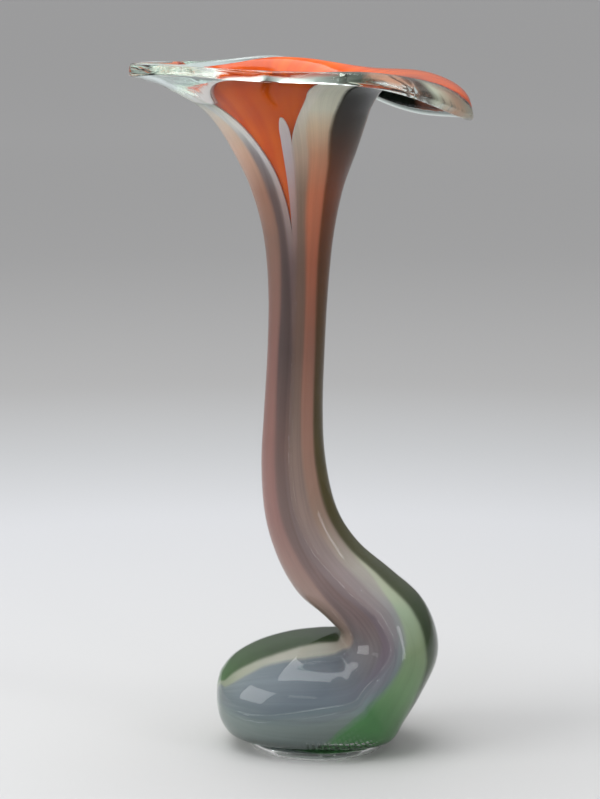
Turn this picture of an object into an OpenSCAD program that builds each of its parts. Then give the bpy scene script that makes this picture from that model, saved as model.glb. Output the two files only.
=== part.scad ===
// Hand blown art glass vase: a flattened bulb lying on a clear foot, a neck that leaves the
// bulb at one side and bends upright, and a wide wavy mouth with one lobe that hangs down.
// The wall is cased glass in three coats: clear casing outside, colour canes laid lengthwise
// in the middle, orange lining inside. Millimetres, +Z up, origin at the centre of the foot
// on the table, +X towards the hanging lobe.

/* [Whole vase] */
// height of the mouth's high side above the table
vase_h = 334; // [270:1:400]
// distance of the vase body behind the centre of the foot
body_y = 4.5; // [0:0.5:8]

/* [Bulb] */
// width of the bulb from its closed tip to the bend
bulb_w = 110; // [85:1:135]
// height of the crease where the neck folds back over the bulb
bulb_h = 55; // [45:1:68]
// depth of the bulb from front to back
bulb_d = 96; // [76:1:118]
// how far the middle of the bulb stands towards the lobe side
bulb_x = 5; // [0:1:10]

/* [Neck] */
// width of the neck at its narrowest
neck_d = 28; // [24:0.5:34]
// roundness of the neck, its depth as a share of its width
neck_round = 1.0; // [0.85:0.05:1.15]

/* [Mouth] */
// width of the mouth from the flange tip to the lobe tip
mouth_w = 168; // [130:1:205]
// depth of the mouth from front to back
mouth_d = 109; // [85:1:135]
// how far the middle of the mouth stands away from the lobe side
mouth_x = -8; // [-14:1:0]
// how far the lobe hangs down below the rest of the rim
lobe_drop = 27; // [15:1:34]
// how far the flange opposite the lobe dips at the back
flange_dip = 5; // [0:0.5:8]
// share by which the flange opposite the lobe narrows to a point
flange_point = 0.4; // [0:0.05:0.6]
// height of the small waves round the rim
ruffle = 0.9; // [0:0.1:2]

/* [Glass coats] */
// thickness of the clear casing round the bulb
casing_bulb = 3.4; // [2:0.1:5]
// thickness of the clear casing on the neck and the mouth
casing_neck = 1.6; // [1:0.1:2.5]
// thickness of the coat of colour canes
cane_t = 1.3; // [0.8:0.1:2]
// thickness of the orange lining
lining_t = 1.3; // [0.8:0.1:2]

/* [Rim lip] */
// thickness of the rounded clear lip at the rim
lip_t = 6; // [4.5:0.1:8]
// thickness of the lip where it runs round the lobe
lobe_lip_t = 4.6; // [4.3:0.1:8]

/* [Foot] */
// diameter of the clear foot
foot_d = 66; // [50:1:80]
// thickness of the clear foot
foot_h = 4; // [2.5:0.1:6]
// radius of the foot's rounded edge
foot_edge = 1.6; // [0.5:0.1:1.9]

/* [Hidden] */

// ---- Skeleton of the vase ----
// The body is swept through a fan of oval sections. Each section runs from an inner point
// (the side away from the lobe) to an outer point (the lobe side) in the XZ plane.

// Bulb sections in percent: inner x and outer x of half the bulb's width from its middle,
// inner z and outer z of the bulb's height, and half depth of half the bulb's depth.
BULB_FAN = [
    [-100, 44, -100, 44, 0],
    [-98.5, 57, -98.5, 31, 23],
    [-94, 67.5, -94, 18, 44],
    [-82, 80, -82, 4, 65],
    [-61, 91, -59, -8, 83],
    [-34, 98.5, -26, -14, 95],
    [-9, 101.5, 15, -14, 100],
    [4.5, 102, 53, -5, 97],
    [9, 102.5, 69.5, 21, 91],
    [10.5, 104, 85, 47, 84],
    [9, 107, 98.7, 78, 76],
    [4.5, 111, 97.5, 105, 69],
    [-7, 121, 84, 133, 59]
];

// Neck sections: middle x in mm, height as a percent of the neck's length above the bulb,
// width in percent of the neck's width, tilt in mm, depth in percent of the neck's width.
NECK_FAN = [
    [13.5, 11, 168, 10, 164],
    [0.5, 17.5, 142, 8, 130],
    [-8, 25.5, 126, 4, 115],
    [-11.7, 36, 113, 2, 107],
    [-11.7, 47, 103, 0, 104],
    [-10.4, 59.5, 100, 0, 102],
    [-9.4, 71.5, 104, 0, 104],
    [-9.2, 82.5, 121, 0, 121],
    [-9.9, 92, 158, 0, 150],
    [-11, 100, 214, 0, 196]
];

// Mouth sections: inner x and outer x in percent of half the mouth's width, how far each
// lies below the rim in mm, half depth in percent, and the shares of the lobe's drop and of
// the ruffle that reach the section, in percent.
MOUTH_FAN = [
    [-50, 25.5, 37, 27.5, 62, 0, 5],
    [-60, 17, 41, 18, 73, 0, 20],
    [-71, 11, 48.5, 9.5, 82, 0, 35],
    [-81, 6, 61.5, 4, 89, 11, 55],
    [-90.5, 2.5, 76.5, 1.5, 94.5, 26, 75],
    [-96.5, 0.5, 90, 1, 98, 52, 90],
    [-100, -0.5, 95.5, 1, 100, 98, 100]
];

mouth_deep = 40;
neck_top = vase_h - mouth_deep;
neck_run = neck_top - bulb_h;

// Every section as [inner x, inner z, outer x, outer z, half depth, drop share, ruffle share].
FAN = concat(
    [for (r = BULB_FAN)
        [bulb_x + r[0] * bulb_w / 200, r[1] * bulb_h / 100,
         bulb_x + r[2] * bulb_w / 200, r[3] * bulb_h / 100, r[4] * bulb_d / 200, 0, 0]],
    [for (r = NECK_FAN)
        [r[0] - r[2] * neck_d / 200, bulb_h + r[1] * neck_run / 100 - r[3] / 2,
         r[0] + r[2] * neck_d / 200, bulb_h + r[1] * neck_run / 100 + r[3] / 2,
         r[4] * neck_d * neck_round / 200, 0, 0]],
    [for (r = MOUTH_FAN)
        [mouth_x + r[0] * mouth_w / 200, vase_h - r[1],
         mouth_x + r[2] * mouth_w / 200, vase_h - r[3],
         r[4] * mouth_d / 200, r[5] / 100, r[6] / 100]]
);
last = len(FAN) - 1;

// Section between the listed ones, on a smooth curve through its four neighbours.
function fan_row(i) =
    i < 0 ? 2 * FAN[0] - FAN[1]
    : i > last ? 2 * FAN[last] - FAN[last - 1]
    : FAN[i];
function blend(a, b, c, d, f) =
    (2 * b + (c - a) * f + (2 * a - 5 * b + 4 * c - d) * f * f
    + (3 * b - a - 3 * c + d) * f * f * f) / 2;
function section(t) =
    let (i = min(floor(t), last - 1))
    blend(fan_row(i - 1), fan_row(i), fan_row(i + 1), fan_row(i + 2), t - i);

// Angle from the direction c, between -180 and 180.
function turn(a, c) = (a - c + 900) % 360 - 180;
lobe_at = 15;
near_spread = 70;
far_spread = 63;
function lobe(a) =
    let (d = turn(a, lobe_at))
    d < 0 ? exp(-pow(d / near_spread, 2)) : exp(-pow(d / far_spread, 4));
point_spread = 48;
function pinch(a, share) = 1 - share * flange_point * exp(-pow(turn(a, 180) / point_spread, 2));
dip_at = 150;
dip_spread = 45;
function waves(a) =
    ruffle * (sin(5 * a + 34) + 0.8 * sin(3 * a - 29))
    - flange_dip * exp(-pow(turn(a, dip_at) / dip_spread, 2));

// The underside is pressed flat on the foot, with a soft corner.
press = 6;
function pressed(z) =
    let (h = max(press - abs(z - foot_h), 0) / press)
    max(z, foot_h) + h * h * press / 4;

// Point of the outside of the vase: t counts sections from the bulb's tip to the rim,
// a goes round the section, 0 at its outer point and 270 at the front.
function outside(t, a) =
    let (s = section(t))
    [
        (s[0] + s[2]) / 2 + (s[2] - s[0]) / 2 * cos(a),
        body_y + s[4] * sin(a) * pinch(a, s[6]),
        pressed(
            (s[1] + s[3]) / 2 + (s[3] - s[1]) / 2 * cos(a)
            - s[5] * lobe_drop * lobe(a) + s[6] * waves(a)
        )
    ];
probe_t = 0.02;
probe_a = 1;
function outward(t, a) =
    let (
        u = max(t, 0.05),
        along = outside(min(u + probe_t, last), a) - outside(u - probe_t, a),
        around = outside(u, a + probe_a) - outside(u, a - probe_a),
        n = cross(around, along)
    )
    n / norm(n);

// ---- Layout of the canes ----
// Straight-line lookup in rows of [t, value, value ...].
function between(rows, t, i = 1) =
    i >= len(rows) - 1 || t <= rows[i][0]
    ? let (f = (t - rows[i - 1][0]) / (rows[i][0] - rows[i - 1][0]))
      rows[i - 1] + (rows[i] - rows[i - 1]) * max(min(f, 1), 0)
    : between(rows, t, i + 1);

// Where one cane ends and the next begins, in degrees round the section, for places t along
// the vase. Order of the canes between the edges: cream, mauve, blue-grey, clear window,
// pale stripe, clear window, taupe, peach, light green, olive, back cream, back peach,
// back green, smoke, side green. Equal edges mean that the cane has run out.
EDGES = [
    [0, 190, 200, 255, 265, 265, 270, 270, 275, 322, 336, 350, 372, 390, 435, 500],
    [2, 218, 232, 262, 270, 270, 276, 276, 284, 338, 352, 374, 400, 420, 465, 510],
    [4, 205, 216, 258, 268, 268, 275, 275, 282, 334, 354, 378, 406, 427, 472, 508],
    [5.2, 201, 213, 254, 264, 264, 270, 270, 277, 322, 353, 378, 407, 428, 473, 506],
    [6, 197, 210, 250, 260, 260, 266, 266, 272, 288, 350, 378, 408, 430, 475, 505],
    [6.8, 196, 209, 248, 258, 258, 263, 263, 267, 272, 346, 378, 408, 430, 475, 505],
    [7.5, 195, 208, 246, 256, 256, 261, 261, 265, 270, 343, 378, 408, 430, 475, 505],
    [9.3, 188, 214, 256, 265, 265, 270, 270, 278, 286, 331, 376, 406, 429, 475, 503],
    [10.6, 182, 222, 263, 272, 272, 277, 277, 284, 290, 320, 374, 405, 428, 475, 502],
    [12, 176, 232, 267, 276, 276, 283, 283, 293, 302, 324, 372, 404, 428, 475, 501],
    [13.4, 172, 240, 262, 272, 272, 278, 278, 298, 320, 327, 368, 401, 425, 474, 501],
    [14.2, 170, 240, 256, 266, 266, 272, 272, 295, 322, 322, 365, 399, 422, 473, 501],
    [15.4, 168, 233, 252, 262, 262, 268, 268, 289, 318, 318, 362, 396, 418, 472, 500],
    [18, 168, 228, 257, 262, 262, 268, 268, 286, 314, 314, 358, 393, 415, 470, 500],
    [20.2, 166, 234, 250, 258, 258, 266, 266, 283, 308, 308, 355, 391, 413, 468, 499],
    [21.6, 163, 227, 238, 246, 260, 270, 270, 283, 305, 305, 353, 389, 410, 465, 497],
    [22.5, 160, 219, 228, 235, 261, 270, 270, 281, 303, 303, 352, 387, 408, 462, 495],
    [23.4, 158, 210, 218, 224, 262, 268, 276, 285, 304, 304, 351, 386, 405, 459, 493],
    [24.6, 155, 204, 210, 215, 260, 266, 285, 291, 307, 307, 350, 385, 403, 457, 491],
    [29, 150, 198, 203, 208, 256, 262, 291, 298, 312, 312, 350, 385, 402, 455, 488]
];
// Columns of facets laid across each cane, in the same order.
CANE_COLS = [4, 3, 1, 3, 1, 1, 2, 3, 2, 4, 3, 2, 4, 3, 4];
canes = len(CANE_COLS);
function cols_before(b) = b == 0 ? 0 : CANE_COLS[b - 1] + cols_before(b - 1);
cols = cols_before(canes);
function cane_of(j, b = 0) = j < cols_before(b + 1) ? b : cane_of(j, b + 1);
CANE = [for (j = [0:1:cols - 1]) cane_of(j)];

// ---- Facet rows ----
// Rows up to the tip of the pale stripe lie at these places along the vase.
BODY_ROWS = [
    0, 0.35, 0.8, 1.4, 2, 2.8, 3.6, 4.4, 5.2, 6, 6.8, 7.5, 8.1, 8.7, 9.3, 10, 10.6, 11.3, 12,
    12.7, 13.4, 14.2, 15.4, 16.6, 18, 19.2, 20.2, 20.9, 21.6, 22.5, 23.4
];
stripe_row = len(BODY_ROWS) - 1;
stripe_end = BODY_ROWS[stripe_row];
colour_rows = 9;
edge_row = stripe_row + colour_rows;
lip_rows = 6;
rim_row = edge_row + lip_rows;

// Where the colour stops under the clear lip, as rows of [degrees, t]: on the outside, and
// on the inside, where the lining stops a little earlier.
COLOUR_END_OUT = [
    [0, 28.7], [60, 28.7], [90, 28.4], [120, 27.2], [150, 24.9], [180, 24.2], [215, 24.2],
    [228, 25.4], [240, 27], [255, 27.5], [280, 27.4], [290, 27.1], [300, 26.8], [310, 26.65],
    [320, 26.9], [330, 27.4], [340, 28.1], [350, 28.5], [360, 28.7]
];
COLOUR_END_IN = [
    [0, 28.65], [60, 28.65], [90, 28.3], [120, 27.1], [150, 24.8], [180, 24.1], [215, 24.1],
    [228, 25.2], [240, 26.7], [270, 27.2], [290, 26.9], [300, 26.6], [310, 26.45], [320, 26.7],
    [330, 27.2], [340, 27.95], [350, 28.4], [360, 28.65]
];
function colour_end(a, k) =
    min(between(k < 2 ? COLOUR_END_OUT : COLOUR_END_IN, (a + 720) % 360)[1],
        last - lip_back(a) - lip_run);

// The lip is rounded over in its last three rows, over half its thickness at the most.
LIP_BACK = [1, 0.38, 0.1, 0];
LIP_THICK = [1, 0.93, 0.7, 0.36];
most_back = 0.62;
lip_run = 0.06;
function lip_thick(a) = lip_t - (lip_t - lobe_lip_t) * lobe(a);
function lip_back(a) =
    min(most_back, lip_thick(a) / 2 / norm(outside(last, a) - outside(last - 1, a)));
function lip_t_at(i, end, back) =
    let (n = i - edge_row)
    n <= 3 ? end + (last - back - end) * n / 3 : last - LIP_BACK[n - 3] * back;
function place(i, a, k) =
    i <= stripe_row ? BODY_ROWS[i]
    : i <= edge_row
    ? stripe_end + (colour_end(a, k) - stripe_end) * (i - stripe_row) / colour_rows
    : lip_t_at(i, colour_end(a, k), lip_back(a));

// Angle of column j at place t.
function angle(t, j) =
    let (
        b = CANE[j],
        e = between(EDGES, t),
        from = e[b + 1],
        to = b + 1 < canes ? e[b + 2] : e[1] + 360
    )
    from + (to - from) * (j - cols_before(b)) / CANE_COLS[b];

// Depth below the outside of surface k: 0 outside, 1 under the casing, 2 under the canes,
// 3 inside. The clear casing grows thinner from the bulb up to the neck.
thin_from = 9;
thin_to = 15;
function ease(x) = let (f = max(min(x, 1), 0)) f * f * (3 - 2 * f);
function casing_at(t) =
    casing_bulb + (casing_neck - casing_bulb) * ease((t - thin_from) / (thin_to - thin_from));
function depth(t, k) = k == 0 ? 0 : casing_at(t) + (k > 1 ? cane_t : 0) + (k > 2 ? lining_t : 0);
wall_t = casing_neck + cane_t + lining_t;
function lip_depth(i, k, a) =
    let (
        n = i - edge_row,
        swell = ease(n / 3) * (lip_thick(a) - wall_t),
        share = n <= 3 ? 1 : LIP_THICK[n - 3],
        half = (wall_t + swell) / 2 * share,
        middle = (wall_t + swell) / 2 - swell / 2
    )
    k == 0 ? middle - half : middle + half;
function skin(i, j, k) =
    let (
        t0 = place(i, angle(29, j), k),
        a = angle(t0, j),
        t = place(i, a, k)
    )
    outside(t, a) - outward(t, a) * (i > edge_row ? lip_depth(i, k, a) : depth(t, k));

// ---- Grid of corner points shared by all the coats ----
GRID = [for (i = [0:1:rim_row]) [for (j = [0:1:cols - 1]) [for (k = [0:1:3]) skin(i, j, k)]]];

// First column at the same place as column j: canes that have run out share one column,
// and all the columns meet at the bulb's closed tip.
same = 0.01;
function first_same(i, j) =
    let (t = BODY_ROWS[min(i, stripe_row)])
    i == 0 ? 0
    : j > 0 && angle(t, j) - angle(t, j - 1) < same
    ? first_same(i, j - 1)
    : j;
HOME = [for (i = [0:1:rim_row]) [for (j = [0:1:cols - 1]) first_same(i, j)]];
function home(i, j) = j >= cols ? HOME[i][0] : HOME[i][j];
function corner(i, j, k) = (i * cols + home(i, j)) * 4 + k;
POINTS = [for (row = GRID) for (column = row) for (p = column) p];

// Number of the cane that fills the cell between rows i, i + 1 and columns j, j + 1.
window = 3;
stripe = 4;
second_window = 5;
function open_cell(i, j) = home(i, j) != home(i, j + 1) || home(i + 1, j) != home(i + 1, j + 1);
function filling(i, j) =
    !open_cell(i, j) ? -1
    : CANE[j] == second_window ? window
    : CANE[j] == stripe && i >= stripe_row ? window
    : CANE[j];

// Two triangles, or one or none where corners fall together.
function tri(a, b, c) = a == b || b == c || c == a ? [] : [[a, b, c]];
function quad(a, b, c, d) = concat(tri(a, b, c), tri(a, c, d));

function shell_faces(from, to, i, j) =
    concat(
        quad(corner(i, j, from), corner(i + 1, j, from),
             corner(i + 1, j + 1, from), corner(i, j + 1, from)),
        quad(corner(i, j, to), corner(i, j + 1, to),
             corner(i + 1, j + 1, to), corner(i + 1, j, to))
    );
function end_face(i, j, from, to) =
    quad(corner(i, j, from), corner(i, j + 1, from), corner(i, j + 1, to), corner(i, j, to));
function turned(faces) = [for (f = faces) [f[0], f[2], f[1]]];
function side_face(i, j, from, to) =
    quad(corner(i, j, from), corner(i + 1, j, from), corner(i + 1, j, to), corner(i, j, to));

// Keeps only the corners that the faces use.
module facets(faces) {
    used = [for (f = faces) for (v = f) v];
    low = min(used);
    high = max(used);
    polyhedron(
        points = [for (v = [low:1:high]) POINTS[v]],
        faces = [for (f = faces) [f[0] - low, f[1] - low, f[2] - low]]
    );
}

// A full coat between two surfaces, closed off where the colour ends.
module coat(from, to) {
    facets(concat(
        [for (i = [0:1:edge_row - 1]) for (j = [0:1:cols - 1])
            for (f = shell_faces(from, to, i, j)) f],
        [for (j = [0:1:cols - 1]) for (f = turned(end_face(edge_row, j, from, to))) f]
    ));
}

// One cane: every cell that carries its number, walled off from the other canes.
function other(i, j, n) =
    i < 0 || i >= edge_row || filling(i, (j + cols) % cols) != n;
module cane(n) {
    facets([
        for (i = [edge_row - 1:-1:0]) for (j = [0:1:cols - 1]) if (filling(i, j) == n)
            for (f = concat(
                shell_faces(1, 2, i, j),
                other(i, j - 1, n) ? turned(side_face(i, j, 1, 2)) : [],
                other(i, j + 1, n) ? side_face(i, j + 1, 1, 2) : [],
                other(i - 1, j, n) ? end_face(i, j, 1, 2) : [],
                other(i + 1, j, n) ? turned(end_face(i + 1, j, 1, 2)) : []
            )) f
    ]);
}

// ---- Coats and lip ----
module casing() {
    color([0.86, 0.9, 0.88, 0.35]) coat(0, 1);
}

module lining() {
    color([0.87, 0.3, 0.1]) coat(2, 3);
}

module rim_lip() {
    color([0.8, 0.9, 0.85, 0.5])
        facets(concat(
            [for (i = [edge_row:1:rim_row - 1]) for (j = [0:1:cols - 1])
                for (f = shell_faces(0, 3, i, j)) f],
            [for (j = [0:1:cols - 1]) for (k = [0:1:2])
                for (f = end_face(edge_row, j, k, k + 1)) f],
            [for (j = [0:1:cols - 1]) for (f = turned(end_face(rim_row, j, 0, 3))) f]
        ));
}

// ---- Foot ----
foot_turn = 96;
edge_turn = 5;
module foot() {
    color([0.82, 0.9, 0.86, 0.5])
        rotate_extrude($fn = foot_turn)
            polygon(concat(
                [[0, 0]],
                [for (n = [0:1:edge_turn])
                    [foot_d / 2 - foot_edge + foot_edge * sin(n * 90 / edge_turn),
                     foot_edge - foot_edge * cos(n * 90 / edge_turn)]],
                [for (n = [0:1:edge_turn])
                    [foot_d / 2 - foot_edge + foot_edge * cos(n * 90 / edge_turn),
                     foot_h - foot_edge + foot_edge * sin(n * 90 / edge_turn)]],
                [[0, foot_h]]
            ));
}

// ---- Colour canes, from the left side round the front to the back ----
module cane_cream() {
    color([0.8, 0.72, 0.62]) cane(0);
}

module cane_mauve() {
    color([0.36, 0.29, 0.32]) cane(1);
}

module cane_blue_grey() {
    color([0.62, 0.65, 0.68]) cane(2);
}

module cane_clear_window() {
    color([0.9, 0.5, 0.35, 0.5]) cane(window);
}

module cane_pale_stripe() {
    color([0.72, 0.74, 0.76]) cane(stripe);
}

module cane_taupe() {
    color([0.5, 0.43, 0.4]) cane(6);
}

module cane_peach() {
    color([0.83, 0.66, 0.55]) cane(7);
}

module cane_light_green() {
    color([0.5, 0.63, 0.48]) cane(8);
}

module cane_olive() {
    color([0.33, 0.3, 0.16]) cane(9);
}

module cane_back_cream() {
    color([0.78, 0.78, 0.7]) cane(10);
}

module cane_back_peach() {
    color([0.8, 0.6, 0.5]) cane(11);
}

module cane_back_green() {
    color([0.2, 0.32, 0.2]) cane(12);
}

module cane_smoke() {
    color([0.45, 0.45, 0.46]) cane(13);
}

module cane_side_green() {
    color([0.24, 0.38, 0.22]) cane(14);
}

casing();
lining();
rim_lip();
foot();
cane_cream();
cane_mauve();
cane_blue_grey();
cane_clear_window();
cane_pale_stripe();
cane_taupe();
cane_peach();
cane_light_green();
cane_olive();
cane_back_cream();
cane_back_peach();
cane_back_green();
cane_smoke();
cane_side_green();
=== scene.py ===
from math import radians
import bmesh
import bpy
import numpy as np
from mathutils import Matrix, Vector


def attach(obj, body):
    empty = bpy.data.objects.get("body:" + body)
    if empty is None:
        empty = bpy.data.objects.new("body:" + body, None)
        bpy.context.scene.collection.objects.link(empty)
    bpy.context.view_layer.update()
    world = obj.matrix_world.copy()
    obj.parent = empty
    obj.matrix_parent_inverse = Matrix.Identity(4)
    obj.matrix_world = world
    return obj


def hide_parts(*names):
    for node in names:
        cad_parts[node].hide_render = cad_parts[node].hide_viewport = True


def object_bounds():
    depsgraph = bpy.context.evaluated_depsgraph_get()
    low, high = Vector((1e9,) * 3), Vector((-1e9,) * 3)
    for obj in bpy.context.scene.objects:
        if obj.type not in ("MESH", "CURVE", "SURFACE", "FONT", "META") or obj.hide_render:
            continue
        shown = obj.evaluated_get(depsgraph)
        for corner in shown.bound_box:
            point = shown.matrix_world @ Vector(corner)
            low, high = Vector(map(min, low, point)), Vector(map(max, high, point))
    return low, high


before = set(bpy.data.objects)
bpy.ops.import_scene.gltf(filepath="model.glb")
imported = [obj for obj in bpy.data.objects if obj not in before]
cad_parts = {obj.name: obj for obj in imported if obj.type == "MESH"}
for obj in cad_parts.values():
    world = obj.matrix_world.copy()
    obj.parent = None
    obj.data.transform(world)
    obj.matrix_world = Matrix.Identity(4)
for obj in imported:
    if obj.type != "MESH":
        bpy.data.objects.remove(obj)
boxBefore = [list(corner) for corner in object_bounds()]
print("vase: frame loaded")

mm = 0.001
tau = 2 * np.pi

# overall sizes of the glass, in mm unless they are shares
body = dict(height=334, behindFoot=4.5, bulbWidth=110, bulbHeight=55, bulbDepth=96, bulbMiddle=5,
            neckWidth=28, mouthWidth=168, mouthDepth=109, mouthMiddle=-8, mouthDeep=40, ruffle=0.9,
            footTop=4, press=6, easeIn=4)
# the lobe hangs at one side of the mouth and the flange is drawn out at the other; widths in degrees
lobe = dict(drop=27, middle=15, nearWidth=70, farWidth=63)
flange = dict(dip=5, dipMiddle=150, dipWidth=45, point=0.4, pointMiddle=180, pointWidth=48)
coats = dict(casingBulb=3.4, casingNeck=1.6, cane=1.3, lining=1.3, overlap=0.04)
detail = dict(rowsPerStep=6, endRows=54, columnsPerFacet=5)

# oval sections of the bulb: inner x, inner z, outer x, outer z, half depth, in percent of the bulb
bulbFan = np.array([
    [-100, 44, -100, 44, 0], [-98.5, 57, -98.5, 31, 23], [-94, 67.5, -94, 18, 44], [-82, 80, -82, 4, 65],
    [-61, 91, -59, -8, 83], [-34, 98.5, -26, -14, 95], [-9, 101.5, 15, -14, 100], [4.5, 102, 53, -5, 97],
    [9, 102.5, 69.5, 21, 91], [10.5, 104, 85, 47, 84], [9, 107, 98.7, 78, 76], [4.5, 111, 97.5, 105, 69],
    [-7, 121, 84, 133, 59]], float)
# neck: middle x in mm, height in percent of the run, width in percent, tilt in mm, depth in percent
neckFan = np.array([
    [13.5, 11, 168, 10, 164], [0.5, 17.5, 142, 8, 130], [-8, 25.5, 126, 4, 115], [-11.7, 36, 113, 2, 107],
    [-11.7, 47, 103, 0, 104], [-10.4, 59.5, 100, 0, 102], [-9.4, 71.5, 104, 0, 104],
    [-9.2, 82.5, 121, 0, 121], [-9.9, 92, 158, 0, 150], [-11, 100, 214, 0, 196]], float)
# mouth: inner x, drop below the rim, outer x, drop, half depth, share of the lobe's drop, share of the ruffle
mouthFan = np.array([
    [-50, 25.5, 37, 27.5, 62, 0, 5], [-60, 17, 41, 18, 73, 0, 20], [-71, 11, 48.5, 9.5, 82, 0, 35],
    [-81, 6, 61.5, 4, 89, 11, 55], [-90.5, 2.5, 76.5, 1.5, 94.5, 26, 75], [-96.5, 0.5, 90, 1, 98, 52, 90],
    [-100, -0.5, 95.5, 1, 100, 98, 100]], float)
# where each cane starts, in degrees round the section, at places along the vase
caneEdges = np.array([
    [0, 190, 200, 255, 265, 265, 270, 270, 275, 322, 336, 350, 372, 390, 435, 500],
    [2, 218, 232, 262, 270, 270, 276, 276, 284, 338, 352, 374, 400, 420, 465, 510],
    [4, 205, 216, 258, 268, 268, 275, 275, 282, 334, 354, 378, 406, 427, 472, 508],
    [5.2, 201, 213, 254, 264, 264, 270, 270, 277, 322, 353, 378, 407, 428, 473, 506],
    [6, 197, 210, 250, 260, 260, 266, 266, 272, 288, 350, 378, 408, 430, 475, 505],
    [6.8, 196, 209, 248, 258, 258, 263, 263, 267, 272, 346, 378, 408, 430, 475, 505],
    [7.5, 195, 208, 246, 256, 256, 261, 261, 265, 270, 343, 378, 408, 430, 475, 505],
    [9.3, 188, 214, 256, 265, 265, 270, 270, 278, 286, 331, 376, 406, 429, 475, 503],
    [10.6, 182, 222, 263, 272, 272, 277, 277, 284, 290, 320, 374, 405, 428, 475, 502],
    [12, 176, 232, 267, 276, 276, 283, 283, 293, 302, 324, 372, 404, 428, 475, 501],
    [13.4, 172, 240, 262, 272, 272, 278, 278, 298, 320, 327, 368, 401, 425, 474, 501],
    [14.2, 170, 240, 256, 266, 266, 272, 272, 295, 322, 322, 365, 399, 422, 473, 501],
    [15.4, 168, 233, 252, 262, 262, 268, 268, 289, 318, 318, 362, 396, 418, 472, 500],
    [18, 168, 228, 257, 262, 262, 268, 268, 286, 314, 314, 358, 393, 415, 470, 500],
    [20.2, 166, 234, 250, 258, 258, 266, 266, 283, 308, 308, 355, 391, 413, 468, 499],
    [21.6, 163, 227, 238, 246, 260, 270, 270, 283, 305, 305, 353, 389, 410, 465, 497],
    [22.5, 160, 219, 228, 235, 261, 270, 270, 281, 303, 303, 352, 387, 408, 462, 495],
    [23.4, 158, 210, 218, 224, 265, 265, 276, 285, 304, 304, 351, 386, 405, 459, 493],
    [24.6, 155, 204, 210, 215, 263, 263, 285, 291, 307, 307, 350, 385, 403, 457, 491],
    [29, 150, 198, 203, 208, 260, 260, 291, 298, 312, 312, 350, 385, 402, 455, 488]], float)
caneNames = ["cream", "mauve", "blueGrey", "window", "stripe", "window", "taupe", "peach", "lightGreen",
             "olive", "backCream", "backPeach", "backGreen", "smoke", "sideGreen"]
# facets across each cane, the same as in the CAD model
caneColumns = [4, 3, 1, 3, 1, 1, 2, 3, 2, 4, 3, 2, 4, 3, 4]
# where the colour stops under the clear lip: degrees, place along the vase; outside and inside of the wall
colourEndOut = np.array([
    [0, 28.7], [60, 28.7], [90, 28.4], [120, 27.2], [150, 24.9], [180, 24.2], [215, 24.2], [228, 25.4],
    [240, 27], [255, 27.5], [280, 27.4], [290, 27.1], [300, 26.8], [310, 26.65], [320, 26.9], [330, 27.4],
    [340, 28.1], [350, 28.5], [360, 28.7]])
colourEndIn = np.array([
    [0, 28.65], [60, 28.65], [90, 28.3], [120, 27.1], [150, 24.8], [180, 24.1], [215, 24.1], [228, 25.2],
    [240, 26.7], [270, 27.2], [290, 26.9], [300, 26.6], [310, 26.45], [320, 26.7], [330, 27.2],
    [340, 27.95], [350, 28.4], [360, 28.65]])

# all sections in one table: inner x, inner z, outer x, outer z, half depth, lobe's share, ruffle's share
neckRun = body["height"] - body["mouthDeep"] - body["bulbHeight"]
bulbHalf, neckHalf, mouthHalf = body["bulbWidth"] / 200, body["neckWidth"] / 200, body["mouthWidth"] / 200
neckUp = body["bulbHeight"] + neckFan[:, 1] * neckRun / 100
fan = np.concatenate([
    np.stack([body["bulbMiddle"] + bulbFan[:, 0] * bulbHalf, bulbFan[:, 1] * body["bulbHeight"] / 100,
              body["bulbMiddle"] + bulbFan[:, 2] * bulbHalf, bulbFan[:, 3] * body["bulbHeight"] / 100,
              bulbFan[:, 4] * body["bulbDepth"] / 200, 0 * bulbFan[:, 0], 0 * bulbFan[:, 0]], 1),
    np.stack([neckFan[:, 0] - neckFan[:, 2] * neckHalf, neckUp - neckFan[:, 3] / 2,
              neckFan[:, 0] + neckFan[:, 2] * neckHalf, neckUp + neckFan[:, 3] / 2,
              neckFan[:, 4] * neckHalf, 0 * neckFan[:, 0], 0 * neckFan[:, 0]], 1),
    np.stack([body["mouthMiddle"] + mouthFan[:, 0] * mouthHalf, body["height"] - mouthFan[:, 1],
              body["mouthMiddle"] + mouthFan[:, 2] * mouthHalf, body["height"] - mouthFan[:, 3],
              mouthFan[:, 4] * body["mouthDepth"] / 200, mouthFan[:, 5] / 100, mouthFan[:, 6] / 100], 1)])
last = len(fan) - 1


def section(t):
    # smooth curve through four neighbouring sections (Catmull-Rom)
    i = np.clip(np.floor(t).astype(int), 0, last - 1)
    f = (t - i)[..., None]
    pad = np.concatenate([2 * fan[:1] - fan[1:2], fan, 2 * fan[-1:] - fan[-2:-1]])
    a, b, c, d = pad[i], pad[i + 1], pad[i + 2], pad[i + 3]
    return (2 * b + (c - a) * f + (2 * a - 5 * b + 4 * c - d) * f**2 + (3 * b - a - 3 * c + d) * f**3) / 2


def turn(a, c):
    # degrees from c to a, the short way round
    return (a - c + 900) % 360 - 180


def lobeAt(a):
    # 1 in the middle of the lobe, falling to 0 away from it
    d = turn(a, lobe["middle"])
    return np.where(d < 0, np.exp(-(d / lobe["nearWidth"]) ** 2), np.exp(-(d / lobe["farWidth"]) ** 4))


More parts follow.
